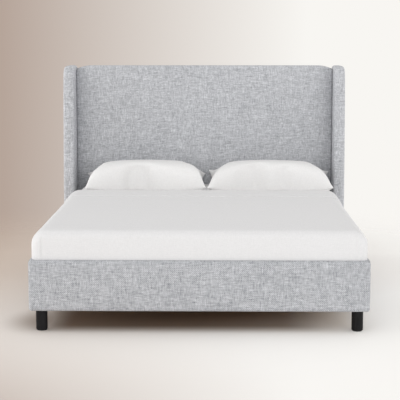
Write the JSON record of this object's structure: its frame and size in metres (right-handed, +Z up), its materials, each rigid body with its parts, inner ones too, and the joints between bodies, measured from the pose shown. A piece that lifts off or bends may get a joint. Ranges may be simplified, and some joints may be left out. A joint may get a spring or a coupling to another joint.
{
  "type": "upholstered platform bed",
  "caption": "Low upholstered wingback platform bed with padded headboard, cloth-wrapped rails and round front legs, dressed with mattress, white bedding and pillows.",
  "frame": {"origin": "on the floor under the middle of the whole bed", "axes": "+X to the right seen from the foot, +Y from the footboard to the headboard, +Z up"},
  "size_m": [1.706, 2.171, 1.186],
  "materials": {
    "upholstery_cloth": "light grey heathered linen-look plain weave, matte",
    "foam": "open-cell upholstery foam",
    "white_cotton": "fine white cotton, soft matte",
    "mattress_ticking": "knitted off-white ticking",
    "back_cloth": "black non-woven dust cloth",
    "black_wood": "black satin paint on beech",
    "pad_plastic": "dark grey moulded plastic",
    "zinc_steel": "bright zinc plating",
    "black_steel": "black powder coat",
    "plywood": "raw birch plywood",
    "pine": "planed raw pine"
  },
  "bodies": {
    "frame": {"beam_hangers": "black_steel", "center_beam": "pine", "center_leg_1": "black_wood", "center_leg_2": "black_wood", "center_leg_3": "black_wood", "foot_pads": "pad_plastic", "footboard_board": "plywood", "footboard_cover": "upholstery_cloth", "footboard_foam": "foam", "frame_bolts": "zinc_steel", "headboard_back_cloth": "back_cloth", "headboard_bottom_rail": "pine", "headboard_cover": "upholstery_cloth", "headboard_face_board": "plywood", "headboard_foam": "foam", "headboard_middle_rail": "pine", "headboard_top_rail": "pine", "left_front_leg": "black_wood", "left_headboard_post": "black_wood", "left_leg_block": "pine", "left_rail_board": "plywood", "left_rail_cover": "upholstery_cloth", "left_rail_foam": "foam", "left_slat_cleat": "pine", "left_wing_core": "plywood", "left_wing_cover": "upholstery_cloth", "left_wing_foam": "foam", "rail_brackets": "black_steel", "right_front_leg": "black_wood", "right_headboard_post": "black_wood", "right_leg_block": "pine", "right_rail_board": "plywood", "right_rail_cover": "upholstery_cloth", "right_rail_foam": "foam", "right_slat_cleat": "pine", "right_wing_core": "plywood", "right_wing_cover": "upholstery_cloth", "right_wing_foam": "foam", "slat_01": "pine", "slat_02": "pine", "slat_03": "pine", "slat_04": "pine", "slat_05": "pine", "slat_06": "pine", "slat_07": "pine", "slat_08": "pine", "slat_09": "pine", "slat_10": "pine", "slat_11": "pine", "slat_12": "pine", "slat_13": "pine", "threaded_inserts": "zinc_steel"},
    "mattress_set": {"mattress": "mattress_ticking", "fitted_sheet": "white_cotton", "coverlet": "white_cotton"},
    "pillow_left": {"left_pillow": "white_cotton"},
    "pillow_right": {"right_pillow": "white_cotton"},
    "glide_1": {"center_glide_1": "pad_plastic"},
    "glide_2": {"center_glide_2": "pad_plastic"},
    "glide_3": {"center_glide_3": "pad_plastic"}
  },
  "joints": [
    {"name": "mattress_lift", "type": "slide", "parent": "frame", "child": "mattress_set", "axis": [0, 0, 1], "range_m": [0, 0.35]},
    {"name": "pillow_left_lift", "type": "slide", "parent": "mattress_set", "child": "pillow_left", "axis": [0, 0, 1], "range_m": [0, 0.25]},
    {"name": "pillow_right_lift", "type": "slide", "parent": "mattress_set", "child": "pillow_right", "axis": [0, 0, 1], "range_m": [0, 0.25]},
    {"name": "glide_1_screw_out", "type": "slide", "parent": "frame", "child": "glide_1", "axis": [0, 0, -1], "range_m": [0, 0.015]},
    {"name": "glide_2_screw_out", "type": "slide", "parent": "frame", "child": "glide_2", "axis": [0, 0, -1], "range_m": [0, 0.015]},
    {"name": "glide_3_screw_out", "type": "slide", "parent": "frame", "child": "glide_3", "axis": [0, 0, -1], "range_m": [0, 0.015]}
  ]
}
